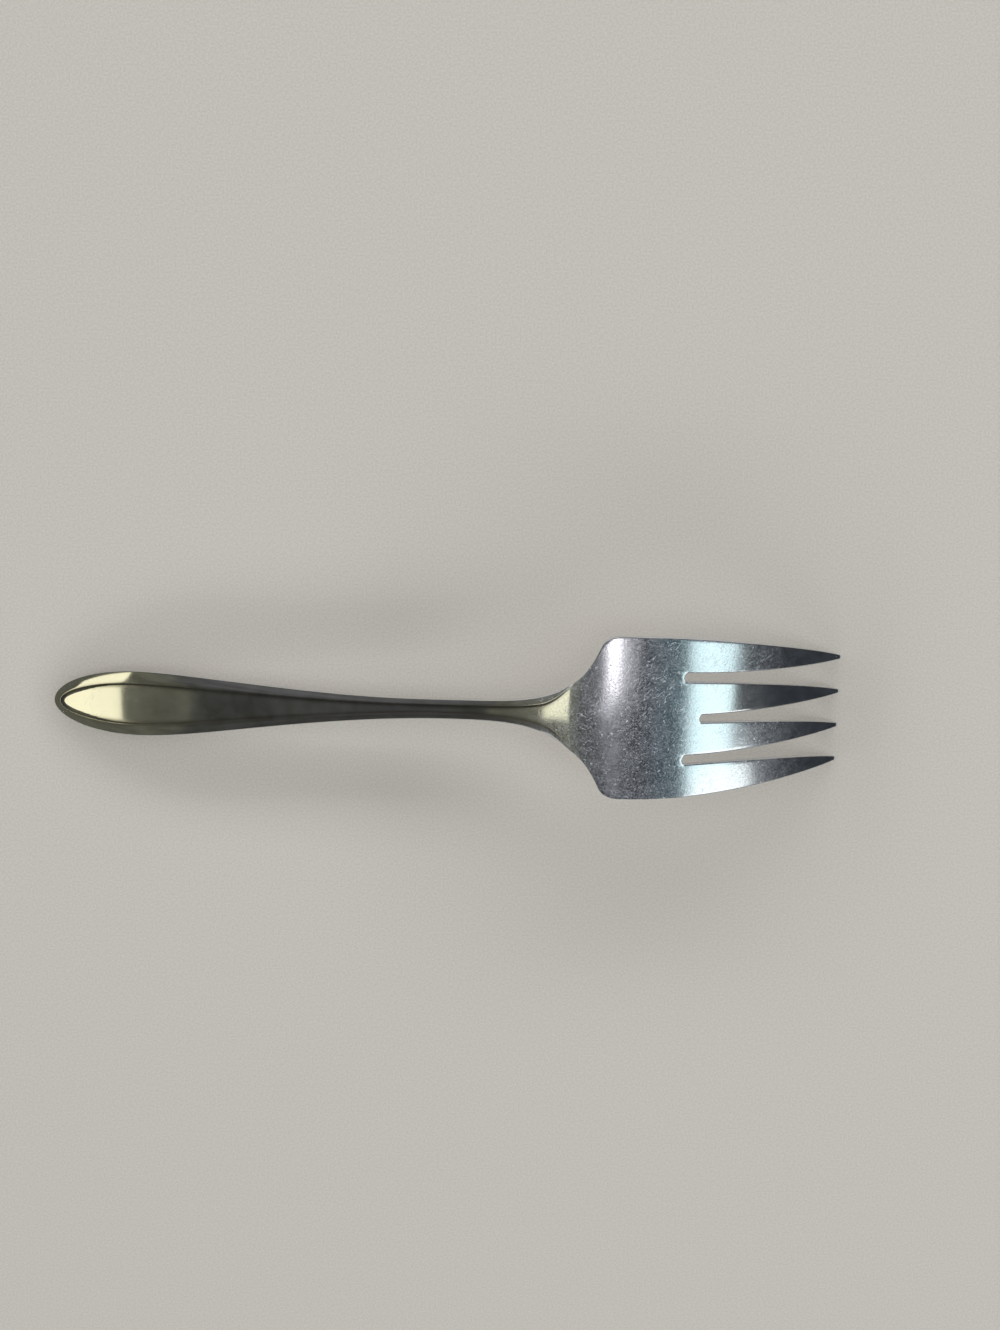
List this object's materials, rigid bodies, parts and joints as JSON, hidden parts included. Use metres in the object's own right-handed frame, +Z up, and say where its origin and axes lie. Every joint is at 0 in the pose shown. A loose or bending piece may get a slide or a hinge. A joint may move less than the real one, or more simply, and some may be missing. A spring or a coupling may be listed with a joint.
{
  "type": "luncheon fork",
  "caption": "Silver-plated luncheon fork lying face down: slim bordered handle, broad square-shouldered head and tapered tines.",
  "frame": {"origin": "under the middle of the fork, on the table that it lies on", "axes": "+X from the nose of the handle to the tine tips, +Y across the fork, +Z up out of the table and out of the fork's back"},
  "size_m": [0.1652, 0.033, 0.0156],
  "materials": {
    "silver_plate": "worn silver plate on nickel silver, lightly tarnished, with many fine scratches"
  },
  "bodies": {
    "root": {"handle_end": "silver_plate", "handle": "silver_plate", "shank": "silver_plate", "shoulder": "silver_plate", "palm": "silver_plate", "tine_1": "silver_plate", "tine_2": "silver_plate", "tine_3": "silver_plate", "tine_4": "silver_plate"}
  },
  "joints": []
}
